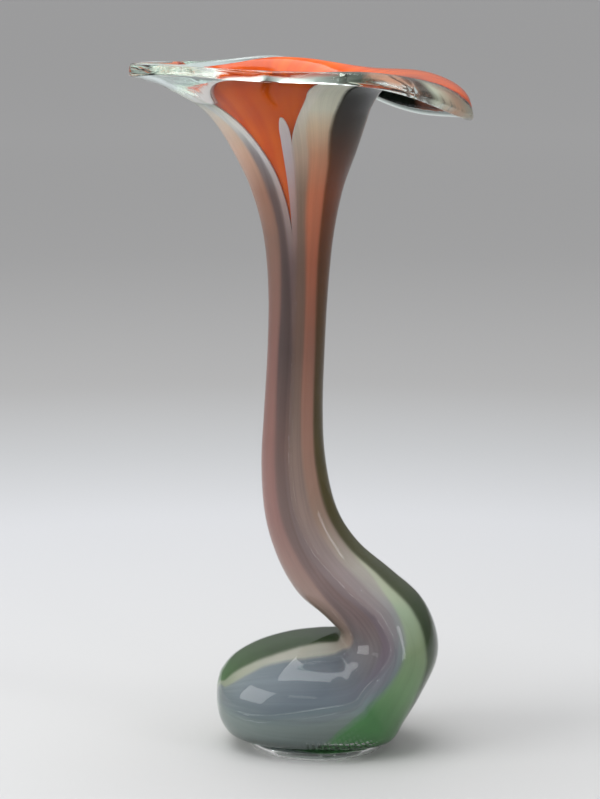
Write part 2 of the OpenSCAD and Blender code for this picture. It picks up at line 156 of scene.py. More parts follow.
def outside(t, a):
    # point on the outside: an ellipse through the section's inner and outer point, pinched at the flange,
    # lowered at the lobe, ruffled, and pressed flat on the foot
    s = section(t)
    waves = body["ruffle"] * (np.sin(np.radians(5 * a + 34)) + 0.8 * np.sin(np.radians(3 * a - 29)))
    waves = waves - flange["dip"] * np.exp(-(turn(a, flange["dipMiddle"]) / flange["dipWidth"]) ** 2)
    point = flange["point"] * np.exp(-(turn(a, flange["pointMiddle"]) / flange["pointWidth"]) ** 2)
    ca, sa = np.cos(np.radians(a)), np.sin(np.radians(a))
    x = (s[..., 0] + s[..., 2]) / 2 + (s[..., 2] - s[..., 0]) / 2 * ca
    y = body["behindFoot"] + s[..., 4] * sa * (1 - s[..., 6] * point)
    z = (s[..., 1] + s[..., 3]) / 2 + (s[..., 3] - s[..., 1]) / 2 * ca
    z = z - s[..., 5] * lobe["drop"] * lobeAt(a) + s[..., 6] * waves
    h = np.maximum(body["press"] - np.abs(z - body["footTop"]), 0) / body["press"]
    return np.stack([x, y, np.maximum(z, body["footTop"]) + h * h * body["press"] / 4], -1)


def outward(t, a):
    # unit normal: small step round the section crossed with a small step along the vase
    u = np.maximum(t, 0.05)
    along = outside(np.minimum(u + 0.02, last), a) - outside(u - 0.02, a)
    around = outside(u, a + 1) - outside(u, a - 1)
    n = np.cross(around, along)
    return n / np.linalg.norm(n, axis=-1, keepdims=True)


def ease(x):
    # 0 to 1 with level ends
    x = np.clip(x, 0, 1)
    return x * x * (3 - 2 * x)


def casingAt(t):
    # thickness of the casing, thick on the bulb and thin up the neck
    return coats["casingBulb"] + (coats["casingNeck"] - coats["casingBulb"]) * ease((t - 9) / 6)


tFine = np.linspace(0, last, 20 * last + 1)  # twenty fine places to a section


def smoothed(values, width):
    # Gaussian average along the first axis, the ends held
    reach = int(width * 4) + 1
    kernel = np.exp(-(np.arange(-reach, reach + 1) / width) ** 2)
    kernel /= kernel.sum()
    padded = np.pad(values, ((reach, reach), (0, 0)), mode="edge")
    return np.stack([np.convolve(column, kernel, "valid") for column in padded.T], 1)


# cane edges at every fine place: rounded off, then wandering by a degree as drawn glass does
edgesFine = np.stack([np.interp(tFine, caneEdges[:, 0], caneEdges[:, n]) for n in range(1, 16)], 1)
wander = np.stack([1.1 * np.sin(1.9 * tFine + 2.3 * n) * ease(tFine / 3) for n in range(15)], 1)
wander[:, [4, 5, 6]] = wander[:, [3]]  # edges that meet wander together
wander[:, 9] = wander[:, 8]
edgesFine = smoothed(edgesFine, 5) + wander

# where the clear window opens, the pale stripe stands between its two strips and ends in a soft round point
stripe = dict(freeFrom=20, tip=23.5, tipLength=0.6)
tipShape = np.sqrt(np.clip((stripe["tip"] - tFine) / stripe["tipLength"], 0, 1))
stripeMiddle = (edgesFine[:, 4] + edgesFine[:, 5]) / 2
stripeHalf = np.interp(tFine, [0, 19, 20.2, 21.6, 22.5, 23, 29], [2.6, 3, 3.8, 4.6, 4.3, 3.8, 3.8]) * tipShape
below = tFine < stripe["freeFrom"]
edgesFine[:, 4] = np.where(below, edgesFine[:, 3], np.minimum(stripeMiddle - stripeHalf, edgesFine[:, 4]))
edgesFine[:, 5] = np.where(below, edgesFine[:, 5], stripeMiddle + stripeHalf)
edgesFine = np.maximum.accumulate(edgesFine, 1)
edgesFine = np.concatenate([edgesFine, edgesFine[:, :1] + 360], 1)

firstColumn = np.concatenate([[0], np.cumsum(caneColumns)]) * detail["columnsPerFacet"]
columns = firstColumn[-1]
caneAt = np.minimum(np.searchsorted(firstColumn, np.arange(columns + 1), "right") - 1, len(caneNames) - 1)
shareAt = (np.arange(columns + 1) - firstColumn[caneAt]) / (firstColumn[caneAt + 1] - firstColumn[caneAt])
columnAngles = edgesFine[:, caneAt] * (1 - shareAt) + edgesFine[:, caneAt + 1] * shareAt


def angleOf(t, column):
    # angle of a column at place t, read between the fine places; columns share their cane's width evenly
    u = np.clip(np.asarray(t) / last, 0, 1) * (len(tFine) - 1)
    i = np.minimum(u.astype(int), len(tFine) - 2)
    return columnAngles[i, column] * (1 - (u - i)) + columnAngles[i + 1, column] * (u - i)


lip = dict(thick=6, thickOnLobe=4.6, mostBack=0.62, run=0.06, rows=30, roundRows=10)


def lipThick(a):
    # thickness of the lip, thinner on the lobe
    return lip["thick"] - (lip["thick"] - lip["thickOnLobe"]) * lobeAt(a)


def turnBack(a):
    # how far before the rim the lip starts to round over: half its thickness, measured in sections
    rim, before = np.full(np.shape(a), last - 0.001), np.full(np.shape(a), last - 1.0)
    rimStep = np.linalg.norm(outside(rim, a) - outside(before, a), axis=-1)
    return np.minimum(lip["mostBack"], lipThick(a) / 2 / rimStep)


def endOf(a, table):
    # smooth place where the colour stops at angle a: the table, kept short of the round of the lip
    ring = np.arange(0, 360, 2.0)
    latest = last - turnBack(ring)
    values = np.minimum(np.interp(ring, table[:, 0], table[:, 1]), latest - lip["run"])
    weights = np.exp(-(np.arange(-9, 10) / 3) ** 2)
    spread = sum(w * np.roll(values, k) for k, w in zip(range(-9, 10), weights)) / weights.sum()
    spread = np.minimum(spread, latest - lip["run"] / 2)
    return np.interp(a % 360, np.append(ring, 360), np.append(spread, spread[0]))


# rows of the coats: these places with equal steps between, then on to where the colour stops
bodyRows = np.array([
    0, 0.35, 0.8, 1.4, 2, 2.8, 3.6, 4.4, 5.2, 6, 6.8, 7.5, 8.1, 8.7, 9.3, 10, 10.6, 11.3, 12, 12.7, 13.4,
    14.2, 15.4, 16.6, 18, 19.2, 20.2, 20.9, 21.6, 22.5, 23.4])
steps = detail["rowsPerStep"]
lowRows = np.interp(np.arange(30 * steps + 1) / steps, np.arange(31), bodyRows)
highShare = np.linspace(0, 1, detail["endRows"] + 1)[1:]


def placeGrid(inner, wanted, extra=0.0):
    # place and angle of every row and wanted column, up to where the colour stops
    end = endOf(angleOf(last, wanted), colourEndIn if inner else colourEndOut) + extra
    low = np.broadcast_to(lowRows[:, None], (len(lowRows), len(wanted)))
    t = np.concatenate([low, bodyRows[-1] + (end - bodyRows[-1]) * highShare[:, None]])
    return t, angleOf(t, wanted)


def skinAt(t, a, depth):
    # point at a depth under the outside, along the normal
    return outside(t, a) - outward(t, a) * np.broadcast_to(depth, t.shape)[..., None]


def heldInside(points):
    # eases the outermost few millimetres back, so that nothing leaves the box of the CAD model:
    # a distance d past the start of the ease becomes w tanh(d / w)
    low, high = np.array(boxBefore) / mm
    w = body["easeIn"]
    over = np.maximum(points - (high - w), 0)
    under = np.maximum((low + w) - points, 0) * (1, 1, 0)
    return points - (over - w * np.tanh(over / w)) + (under - w * np.tanh(under / w))


def gridFaces(index, closeRows, closeColumns):
    # one quad between each four neighbouring points, and a triangle where two of them are a pole
    after = np.roll(index, -1, 0)
    quads = np.stack([np.roll(index, -1, 1), np.roll(after, -1, 1), after, index], -1)
    quads = quads[:None if closeRows else -1, :None if closeColumns else -1].reshape(-1, 4)
    atFirst, atLast = quads[:, 3] == quads[:, 0], quads[:, 1] == quads[:, 2]
    triangles = np.concatenate([quads[atFirst][:, :3], quads[atLast][:, [0, 1, 3]]])
    return quads[~atFirst & ~atLast], triangles


def capFaces(ring, flip):
    # quads across a flattened tube, from its outer side to its inner side
    k = np.arange(len(ring) // 2 - 1)
    strip = np.stack([ring[k], ring[k + 1], ring[-2 - k], ring[-1 - k]], 1)
    return strip[:, ::-1] if flip else strip


def meshFromGrid(name, points, closeRows=False, closeColumns=False, firstPole=False, lastPole=False,
                 caps=False, uv=None, colour=None, standing=False):
    # a surface from a grid of points in mm; standing is for what isn't part of the vase
    rows, cols = points.shape[:2]
    index = np.arange(rows * cols).reshape(rows, cols)
    if firstPole:
        index[0] = index[0, 0]
    if lastPole:
        index[-1] = index[-1, 0]
    quads, triangles = gridFaces(index, closeRows, closeColumns)
    if caps:
        quads = np.concatenate([quads, capFaces(index[0], False), capFaces(index[-1], True)])
    used, corners = np.unique(np.concatenate([quads.ravel(), triangles.ravel()]), return_inverse=True)
    faces = corners[:quads.size].reshape(-1, 4).tolist() + corners[quads.size:].reshape(-1, 3).tolist()
    if not standing:
        points = heldInside(points)
    mesh = bpy.data.meshes.new(name)
    mesh.from_pydata((points.reshape(-1, 3)[used] * mm).tolist(), [], faces)
    if uv is not None:
        layer = mesh.uv_layers.new(name="alongAround")
        loopVertex = np.empty(len(mesh.loops), int)
        mesh.loops.foreach_get("vertex_index", loopVertex)
        layer.data.foreach_set("uv", uv.reshape(-1, 2)[used][loopVertex].astype(np.float32).ravel())
    if colour is not None:
        layer = mesh.attributes.new("glassColour", "FLOAT_COLOR", "POINT")
        layer.data.foreach_set("color", colour.reshape(-1, 4)[used].astype(np.float32).ravel())
    mesh.validate()
    mesh.polygons.foreach_set("use_smooth", np.ones(len(mesh.polygons), bool))
    piece = bpy.data.objects.new(name, mesh)
    bpy.context.collection.objects.link(piece)
    if not standing:
        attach(piece, "root")
    return piece


allColumns = np.arange(columns)
tOut, aOut = placeGrid(False, allColumns)

# the clear window strips are part of the same clear glass, so the casing is deeper there
isWindow = np.zeros(tOut.shape, bool)
narrowest = 1.5  # degrees: a strip that is narrower than this is closed
for n in (3, 5):
    span = (allColumns >= firstColumn[n]) & (allColumns <= firstColumn[n + 1])
    gap = np.interp(tOut, tFine, edgesFine[:, n + 1] - edgesFine[:, n])
    isWindow |= span & (gap > narrowest)
stripeSpan = (allColumns >= firstColumn[4]) & (allColumns <= firstColumn[5])
isWindow |= stripeSpan & (tOut > stripe["tip"] + 0.02)
casingOuter = skinAt(tOut, aOut, 0 * tOut)
casingInner = skinAt(tOut, aOut, casingAt(tOut) + np.where(isWindow, coats["cane"] - 0.01, 0))
casing = meshFromGrid("casingClear", np.concatenate([casingOuter, casingInner[::-1]]), closeColumns=True,
                      firstPole=True, lastPole=True)
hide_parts("casing", "cane_clear_window")
print("vase: casing", len(casing.data.polygons))


def linear(r, g, b):
    # linear light from the values of a colour picker, 0 to 255
    c = np.array([r, g, b]) / 255
    return np.where(c <= 0.04045, c / 12.92, ((c + 0.055) / 1.055) ** 2.4)


def glassRun(*stops):
    # a colour at every fine place, from stops of (place, red, green, blue)
    stops = sorted(stops)
    places = [s[0] for s in stops]
    shades = np.array([linear(*s[1:]) for s in stops])
    return np.stack([np.interp(tFine, places, shades[:, k]) for k in range(3)], 1)


# colour stops along each cane: place, then red, green and blue; the paler stops near places 13 to 13.5, on
# every cane, are a painted highlight on the bend
caneColours = dict(
    cream=glassRun((0, 118, 126, 108), (2.5, 122, 128, 110), (4.5, 142, 142, 132), (6, 150, 150, 140),
                   (7.5, 150, 144, 134), (9, 138, 124, 112), (11, 132, 114, 106), (13, 162, 138, 130),
                   (15, 138, 105, 100), (16.5, 128, 94, 88), (18, 122, 88, 82), (20, 124, 93, 80),
                   (21, 150, 108, 88), (22, 192, 156, 134), (23, 206, 186, 166), (24.2, 202, 208, 196)),
    mauve=glassRun((0, 108, 116, 114), (3, 98, 107, 112), (4.5, 96, 105, 112), (6, 88, 96, 104),
                   (8, 88, 90, 96), (10.5, 98, 92, 94), (12, 106, 92, 92), (13.5, 124, 106, 104),
                   (15, 112, 94, 90), (16.5, 98, 78, 74), (18, 74, 60, 58), (19.5, 74, 58, 56),
                   (21, 96, 78, 75), (22, 130, 124, 126), (23, 196, 198, 195), (25, 205, 212, 208)),
    blueGrey=glassRun((0, 112, 120, 118), (3, 104, 114, 118), (4.5, 98, 108, 115), (6, 96, 105, 113),
                      (7.5, 95, 98, 106), (9, 98, 94, 103), (10.5, 104, 93, 102), (12, 100, 90, 96),
                      (13.5, 136, 122, 123), (15, 120, 104, 102), (16.5, 112, 90, 84), (18, 83, 69, 68),
                      (19.5, 106, 87, 87), (21, 166, 148, 144), (22, 204, 204, 204), (23, 212, 213, 208),
                      (24.2, 190, 198, 188)),
    stripe=glassRun((0, 116, 124, 124), (3, 104, 116, 120), (6, 106, 118, 123), (7.5, 106, 114, 120),
                    (9, 106, 106, 114), (10.5, 116, 110, 116), (12, 126, 114, 118), (13.5, 148, 134, 132),
                    (15, 138, 119, 113), (16.5, 124, 106, 98), (18, 101, 83, 77), (19.5, 108, 88, 84),
                    (21, 180, 150, 146), (22, 188, 180, 186), (23, 212, 204, 204), (23.5, 216, 216, 213)),
    taupe=glassRun((0, 116, 126, 124), (4.5, 115, 127, 128), (6, 110, 120, 124), (9, 116, 118, 126),
                   (10.5, 112, 112, 118), (12, 128, 122, 124), (13.5, 150, 138, 138), (15, 148, 129, 122),
                   (16.5, 134, 115, 106), (18, 112, 90, 80), (19.5, 114, 90, 78), (21, 138, 115, 98),
                   (22, 188, 164, 144), (23, 214, 204, 186), (24, 230, 226, 212), (29, 222, 224, 214)),
    # the peach stop at place 4.5, low on the bulb, is made paler to make up for the shade near the floor:
    # painted light
    peach=glassRun((0, 120, 130, 126), (4.5, 124, 136, 134), (6, 118, 130, 128), (7.5, 115, 127, 131),
                   (9, 112, 122, 128), (10.5, 120, 128, 130), (12, 134, 134, 136), (13.5, 166, 160, 153),
                   (15, 154, 130, 116), (16.5, 168, 126, 110), (18, 148, 102, 86), (19.5, 174, 102, 75),
                   (21, 206, 122, 86), (22, 205, 150, 118), (23, 222, 196, 166), (24, 224, 220, 202),
                   (29, 216, 220, 208)),
    lightGreen=glassRun((0, 112, 125, 112), (3, 94, 125, 98), (6, 82, 138, 84), (7.5, 74, 124, 73),
                        (9, 116, 150, 108), (10.5, 128, 146, 113), (12, 148, 164, 139),
                        (13.5, 182, 185, 165), (14.6, 120, 112, 82), (18, 110, 85, 55), (22, 105, 60, 38)),
    olive=glassRun((0, 88, 105, 84), (4, 84, 112, 80), (7, 84, 108, 78), (9, 62, 82, 52),
                   (10.5, 45, 60, 33), (12, 44, 58, 31), (13.5, 62, 66, 40), (15, 78, 71, 40),
                   (16.5, 80, 69, 38), (18, 79, 58, 30), (19.5, 94, 56, 28), (21, 116, 58, 26),
                   (22, 80, 45, 23), (23, 52, 36, 22), (24.2, 34, 27, 19), (25.2, 32, 36, 28),
                   (26, 26, 40, 32), (29, 30, 46, 38)),
    backCream=glassRun((0, 112, 120, 100), (6, 110, 126, 96), (12, 100, 110, 76), (16, 96, 76, 50),
                       (20, 104, 68, 40), (23, 120, 84, 60), (25, 150, 104, 84), (27, 178, 124, 100),
                       (28.2, 176, 150, 128), (29, 190, 176, 160)),
    backPeach=glassRun((0, 130, 128, 112), (6, 140, 132, 112), (12, 142, 118, 98), (18, 146, 104, 84),
                       (23, 170, 112, 88), (26, 186, 124, 100), (29, 184, 122, 100)),
    backGreen=glassRun((0, 70, 100, 68), (8, 60, 88, 52), (14, 56, 66, 42), (18, 58, 54, 36),
                       (23, 38, 42, 30), (26, 22, 36, 28), (29, 20, 36, 28)),
    smoke=glassRun((0, 95, 112, 92), (8, 92, 110, 84), (14, 106, 100, 92), (20, 112, 96, 90),
                   (24, 112, 112, 108), (29, 128, 134, 128)),
    # the side green stop at place 4.5 is made darker to cancel the reflection of the sky there: painted shade
    sideGreen=glassRun((0, 92, 118, 86), (1.5, 66, 94, 58), (3, 46, 68, 38), (4.5, 36, 54, 27),
                       (7, 44, 62, 36), (9, 66, 70, 50), (12, 112, 98, 86), (18, 110, 90, 82),
                       (22, 130, 112, 98), (24, 150, 160, 152), (29, 170, 185, 176))
)
caneColours["window"] = caneColours["stripe"]

# the colour of every place and angle on the vase
ring = np.arange(0, 360, 0.5)
colourField = np.zeros((len(tFine), len(ring), 3))
for n, name in enumerate(caneNames):
    low, high = edgesFine[:, n][:, None], edgesFine[:, n + 1][:, None]
    inside = ((ring[None, :] - low) % 360) < (high - low)
    colourField = np.where(inside[..., None], caneColours[name][:, None, :], colourField)


def blurRound(field, degrees):
    # averages colours round the vase, so that neighbouring canes melt together
    reach = int(degrees * 6) + 1
    weights = np.exp(-(np.arange(-reach, reach + 1) * 0.5 / degrees) ** 2)
    out = sum(w * np.roll(field, k, 1) for k, w in zip(range(-reach, reach + 1), weights))
    return out / weights.sum()


crisp = blurRound(colourField, 0.9)
soft = blurRound(colourField, 4.2)
melt = np.interp(tFine, [0, 4, 9, 12, 14, 19, 21, 23, 24, 29],
                 [0.5, 0.25, 0.35, 0.5, 0.8, 0.85, 0.6, 0.15, 0.1, 0.1])[:, None, None]
colourField = crisp * (1 - melt) + soft * melt


def colourAt(t, a):
    # reads the colour field between its places and angles
    u = np.clip(t / last * (len(tFine) - 1), 0, len(tFine) - 1.001)
    v = (a % 360) / 0.5
    i, j = u.astype(int), v.astype(int)
    fu, fv = (u - i)[..., None], (v - j)[..., None]
    j0, j1 = j % len(ring), (j + 1) % len(ring)
    return ((colourField[i, j0] * (1 - fv) + colourField[i, j1] * fv) * (1 - fu)
            + (colourField[i + 1, j0] * (1 - fv) + colourField[i + 1, j1] * fv) * fu)


def asColour(shades, alpha=None):
    # red, green and blue with a fourth value, 1 unless it is given
    return np.concatenate([shades, np.ones_like(shades[..., :1]) if alpha is None else alpha[..., None]], -1)


print("vase: colours worked out")


class Sock:
    # wraps a socket so that maths on it adds nodes
    def __init__(self, tree, socket):
        self.tree, self.socket = tree, socket

    def math(self, operation, *values):
        # one Math node on these values
        return self.tree.add("ShaderNodeMath", dict(operation=operation), dict(enumerate(values)))

    def __add__(self, other):
        return self.math("ADD", self, other)

    def __sub__(self, other):
        return self.math("SUBTRACT", self, other)

    def __mul__(self, other):
        return self.math("MULTIPLY", self, other)

    def __truediv__(self, other):
        return self.math("DIVIDE", self, other)

    def __radd__(self, other):
        return self.math("ADD", other, self)

    def __rsub__(self, other):
        return self.math("SUBTRACT", other, self)

    def __rmul__(self, other):
        return self.math("MULTIPLY", other, self)


class Tree:
    # the nodes of a material or of the world, added one at a time
    def __init__(self, name, owners=None):
        self.material = (bpy.data.materials if owners is None else owners).new(name)
        self.material.use_nodes = True
        self.nodes = self.material.node_tree.nodes
        self.links = self.material.node_tree.links
        self.nodes.clear()

    def add(self, kind, settings=None, inputs=None, out=0):
        # one node: its settings first, then the values or links of its sockets
        node = self.nodes.new(kind)
        for key, value in (settings or {}).items():
            if key == "stops":
                ramp = node.color_ramp
                while len(ramp.elements) < len(value):
                    ramp.elements.new(0.5)
                for element, (place, shade) in zip(ramp.elements, value):
                    element.position = place
                    element.color = (*shade, 1)
            else:
                setattr(node, key, value)
        for key, value in (inputs or {}).items():
            socket = node.inputs[key]
            if isinstance(value, Sock):
                self.links.new(value.socket, socket)
            else:
                socket.default_value = value
        return Sock(self, node.outputs[out])

    def mix(self, factor, a, b, blend="MIX"):
        # a colour between a and b
        node = self.nodes.new("ShaderNodeMix")
        node.data_type = "RGBA"
        node.blend_type = blend
        for key, value in ((0, factor), (6, a), (7, b)):
            if isinstance(value, Sock):
                self.links.new(value.socket, node.inputs[key])
            else:
                node.inputs[key].default_value = value if key == 0 else (*value, 1)
        return Sock(self, node.outputs[2])

    def finish(self, surface, output="ShaderNodeOutputMaterial"):
        # the surface goes to the output, and the material is ready
        self.links.new(surface.socket, self.nodes.new(output).inputs["Surface"])
        return self.material


def stretchedUv(tree, along, around):
    # places along and round the vase, so many to its length and to its girth
    uv = tree.add("ShaderNodeUVMap", dict(uv_map="alongAround"))
    return tree.add("ShaderNodeMapping", None, {"Vector": uv, "Scale": (along, around, 1)})


def noise(tree, where, detail, roughness, distortion=0.0, scale=1.0):
    # cloudy grey values round 0.5
    return tree.add("ShaderNodeTexNoise", None, {
        "Vector": where, "Scale": scale, "Detail": detail, "Roughness": roughness, "Distortion": distortion})


def caneMaterial(name, streak=0.22, haze=0.1, roughness=0.42):
    # coloured glass: the melted cane colours, fine lengthwise threads and slow cloudiness
    tree = Tree(name)
    base = tree.add("ShaderNodeAttribute", dict(attribute_name="glassColour"))
    threads = noise(tree, stretchedUv(tree, 2.2, 95), 5.0, 0.6, 0.15)
    fine = noise(tree, stretchedUv(tree, 6, 420), 3.0, 0.5)
    cloud = noise(tree, stretchedUv(tree, 18, 14), 4.0, 0.55, 0.6)
    shade = (threads - 0.5) * streak * 2 + (fine - 0.5) * streak + (cloud - 0.5) * haze * 2 + 1
    bright = tree.add("ShaderNodeCombineColor", None, {0: shade, 1: shade, 2: shade})
    colour = tree.mix(1.0, base, bright, "MULTIPLY")
    warm = tree.add("ShaderNodeMath", dict(operation="MULTIPLY", use_clamp=True), {
        0: (cloud - 0.45) * 2.0, 1: 0.35})
    colour = tree.mix(warm, colour, tree.mix(1.0, colour, (1.12, 0.96, 0.9), "MULTIPLY"))
    rough = roughness + (threads - 0.5) * 0.15
    height = threads * 0.5 + fine * 0.5
    bump = tree.add("ShaderNodeBump", None, {"Height": height, "Strength": 0.05, "Distance": 0.0004})
    shader = tree.add("ShaderNodeBsdfPrincipled", None, {
        "Base Color": colour, "Roughness": rough, "Normal": bump, "Specular IOR Level": 0.15})
    return tree.finish(shader)


def clearGlass(name, tint, strength, ior=1.5, finer=26, runs=False):
    # clear glass with slow waviness; lamps shine through it, as light does through real glass
    tree = Tree(name)
    where = tree.add("ShaderNodeTexCoord", None, None, "Object")
    placed = tree.add("ShaderNodeMapping", None, {"Vector": where, "Scale": (finer, finer, finer)})
    slow = noise(tree, placed, 2.0, 0.45, 0.4)
    bump = tree.add("ShaderNodeBump", None, {"Height": slow, "Strength": strength, "Distance": 0.00048})
    glass = tree.add("ShaderNodeBsdfPrincipled", None, {
        "Base Color": (*tint, 1), "Roughness": 0.0, "IOR": ior, "Transmission Weight": 1.0, "Normal": bump})
    through = tree.add("ShaderNodeBsdfTransparent", None, {"Color": (*tint, 1)})
    lamp = tree.add("ShaderNodeLightPath", None, None, "Is Shadow Ray")
    clear = tree.add("ShaderNodeMixShader", None, {0: lamp, 1: glass, 2: through})
    if not runs:
        return tree.finish(clear)
    # thin runs of the cane colours that reach out into the clear glass
    shade = tree.add("ShaderNodeAttribute", dict(attribute_name="glassColour"))
    reach = tree.add("ShaderNodeAttribute", dict(attribute_name="glassColour"), None, "Alpha")
    threads = noise(tree, stretchedUv(tree, 5, 60), 4.0, 0.6)
    cover = tree.add("ShaderNodeMapRange", dict(interpolation_type="SMOOTHSTEP"), {
        0: reach + (threads - 0.5) * 1.1, 1: 0.42, 2: 0.72, 3: 0.0, 4: 0.94})
    coloured = tree.add("ShaderNodeBsdfPrincipled", None, {
        "Base Color": shade, "Roughness": 0.16 + (threads - 0.5) * 0.1, "Normal": bump,
        "Specular IOR Level": 0.4})
    return tree.finish(tree.add("ShaderNodeMixShader", None, {0: cover, 1: clear, 2: coloured}))


def uvGrid(t, a):
    # share of the vase's length and of a full turn
    return np.stack([t / last, a / 360], -1)


caneNodes = dict(cream="cane_cream", mauve="cane_mauve", blueGrey="cane_blue_grey", stripe="cane_pale_stripe",
                 taupe="cane_taupe", peach="cane_peach", lightGreen="cane_light_green", olive="cane_olive",
                 backCream="cane_back_cream", backPeach="cane_back_peach", backGreen="cane_back_green",
                 smoke="cane_smoke", sideGreen="cane_side_green")
caneLook = dict(cream=dict(streak=0.16), mauve=dict(streak=0.24), blueGrey=dict(streak=0.18),
                stripe=dict(streak=0.14), taupe=dict(streak=0.22), peach=dict(streak=0.16),
                lightGreen=dict(streak=0.12), olive=dict(streak=0.2, haze=0.25), backCream=dict(streak=0.2),
                backPeach=dict(streak=0.24), backGreen=dict(streak=0.2, haze=0.2), smoke=dict(streak=0.26),
                sideGreen=dict(streak=0.14, haze=0.16))
caneEnds = dict(lightGreen=14.5, stripe=stripe["tip"] - 0.01)  # canes that run out before the lip
seamOverlap = 0.12  # degrees that a cane reaches into its neighbour
intoLip = 0.012  # sections that the coats reach into the lip


def caneGrid(name, n):
    # a flattened tube: the cane's outer skin out and its inner skin back, one ring for each row
    wanted = np.arange(firstColumn[n], firstColumn[n + 1] + 1)
    tO, aO = placeGrid(False, wanted, intoLip)
    tI, aI = placeGrid(True, wanted, intoLip)
    aO[:, 0] -= seamOverlap
    aO[:, -1] += seamOverlap
    outerSkin = skinAt(tO, aO, casingAt(tO) - coats["overlap"])
    innerSkin = skinAt(tI, aI, casingAt(tI) + coats["cane"])
    pastEnd = tO[:, 0] > caneEnds.get(name, np.inf)
    kept = slice(1, int(np.argmax(pastEnd)) if pastEnd.any() else len(tO))  # the first row is the pole
    pairs = ((outerSkin, innerSkin), (tO, tI), (aO, aI))
    return [np.concatenate([outer, inner[:, ::-1]], 1)[kept] for outer, inner in pairs]


for n, name in enumerate(caneNames):
    if name == "window":
        continue
    loop, t, a = caneGrid(name, n)
    piece = meshFromGrid(name + "Cane", loop, closeColumns=True, caps=True, uv=uvGrid(t, a),
                         colour=asColour(colourAt(t, a)))
    piece.data.set_sharp_from_angle(angle=radians(40))
    piece.data.materials.append(caneMaterial(name + "Glass", **caneLook[name]))
    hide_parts(caneNodes[name])
print("vase: canes laid")

tL, aL = placeGrid(True, allColumns, intoLip)
liningOuter = skinAt(tL, aL, casingAt(tL) + coats["cane"] - coats["overlap"])
liningInner = skinAt(tL, aL, casingAt(tL) + coats["cane"] + coats["lining"])
uvL = uvGrid(tL, aL)
lining = meshFromGrid("orangeLining", np.concatenate([liningOuter, liningInner[::-1]]), closeColumns=True,
                      firstPole=True, lastPole=True, uv=np.concatenate([uvL, uvL[::-1]]))


def liningMaterial():
    # opaque orange glass, redder in places, with faint lengthwise threads
    tree = Tree("orangeGlass")
    threads = noise(tree, stretchedUv(tree, 2.5, 40), 4.0, 0.55)
    where = tree.add("ShaderNodeTexCoord", None, None, "Object")
    cloud = noise(tree, where, 3.0, 0.5, scale=22.0)
    tone = (threads - 0.5) * 0.8 + (cloud - 0.5) * 0.7 + 0.5
    stops = [(0.0, (0.38, 0.03, 0.0)), (0.45, (0.62, 0.08, 0.001)), (1.0, (0.86, 0.19, 0.008))]
    colour = tree.add("ShaderNodeValToRGB", dict(stops=stops), {0: tone})
    bump = tree.add("ShaderNodeBump", None, {"Height": cloud, "Strength": 0.12, "Distance": 0.0006})
    shader = tree.add("ShaderNodeBsdfPrincipled", None, {
        "Base Color": colour, "Roughness": 0.08 + (threads - 0.5) * 0.05, "Normal": bump,
        "Specular IOR Level": 0.22})
    return tree.finish(shader)


lining.data.materials.append(liningMaterial())
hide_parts("lining")
print("vase: lining in")

wall = coats["casingNeck"] + coats["cane"] + coats["lining"]
share = np.linspace(0, 1, lip["rows"] + 1)
arc = np.radians(np.linspace(0, 90, lip["roundRows"] + 1))[1:]


def lipSide(inner):
    # from the end of the colour out to the rim, where both sides meet in a half round:
    # half the thickness is wall / 2 at the colour, grows to the lip's half and closes as a cosine
    angle = angleOf(last, allColumns)
    end, back = endOf(angle, colourEndIn if inner else colourEndOut), turnBack(angle)
    straight = end + (last - back - end) * share[:, None]
    t = np.concatenate([straight, last - back * (1 - np.sin(arc))[:, None]])
    grow = np.concatenate([ease(share), np.ones(len(arc))])[:, None] * (lipThick(angle) - wall)
    halfThick = (wall + grow) / 2 * np.concatenate([np.ones(len(share)), np.cos(arc)])[:, None]
    return t, angleOf(t, allColumns), wall / 2 + (halfThick if inner else -halfThick)


def roundTheLip(outer, inner, endOuter, endInner):
    # one loop: out along the outer side, back along the inner side and across the end of the coats
    return np.concatenate([outer, inner[::-1][1:], endInner, endOuter])


tA, aA, dA = lipSide(False)
tB, aB, dB = lipSide(True)
faceOne = skinAt(tA[:1], aA[:1], casingAt(tA[:1]))
faceTwo = skinAt(tB[:1], aB[:1], casingAt(tB[:1]) + coats["cane"])
profile = roundTheLip(skinAt(tA, aA, dA), skinAt(tB, aB, dB), faceOne, faceTwo)

# colours of the runs under the lobe: degrees, red, green, blue
lobeRuns = np.array([
    [270, 96, 100, 84], [284, 44, 52, 40], [300, 34, 42, 32], [305, 176, 128, 108], [313, 186, 134, 112],
    [316, 66, 46, 36], [321, 58, 42, 34], [325, 176, 172, 156], [338, 196, 150, 126], [350, 190, 176, 156],
    [365, 176, 150, 128], [380, 150, 110, 88], [400, 150, 110, 88]], float)
lobeShades = np.stack([linear(*row[1:]) for row in lobeRuns])
colourRuns = dict(middle=342, width=62, underMiddle=330, underWidth=50, orange=(0.55, 0.045, 0.003),
                  outer=dict(start=1.0, fade=2.6, lessOnLobe=2.0),
                  inner=dict(start=0.75, fade=3.2, lessOnLobe=1.6))


def runsOut(a, start, fade, lessOnLobe):
    # how strongly the colours run out: start at the coats' end, falling towards the rim, less on the lobe
    onLobe = np.exp(-(turn(a, colourRuns["middle"]) / colourRuns["width"]) ** 4)
    return start - alongLip * (fade - lessOnLobe * onLobe)


alongLip = np.concatenate([share, 1 + np.sin(arc) * 0.3])[:, None] / 1.3
runA, runB = runsOut(aA, **colourRuns["outer"]), runsOut(aB, **colourRuns["inner"])
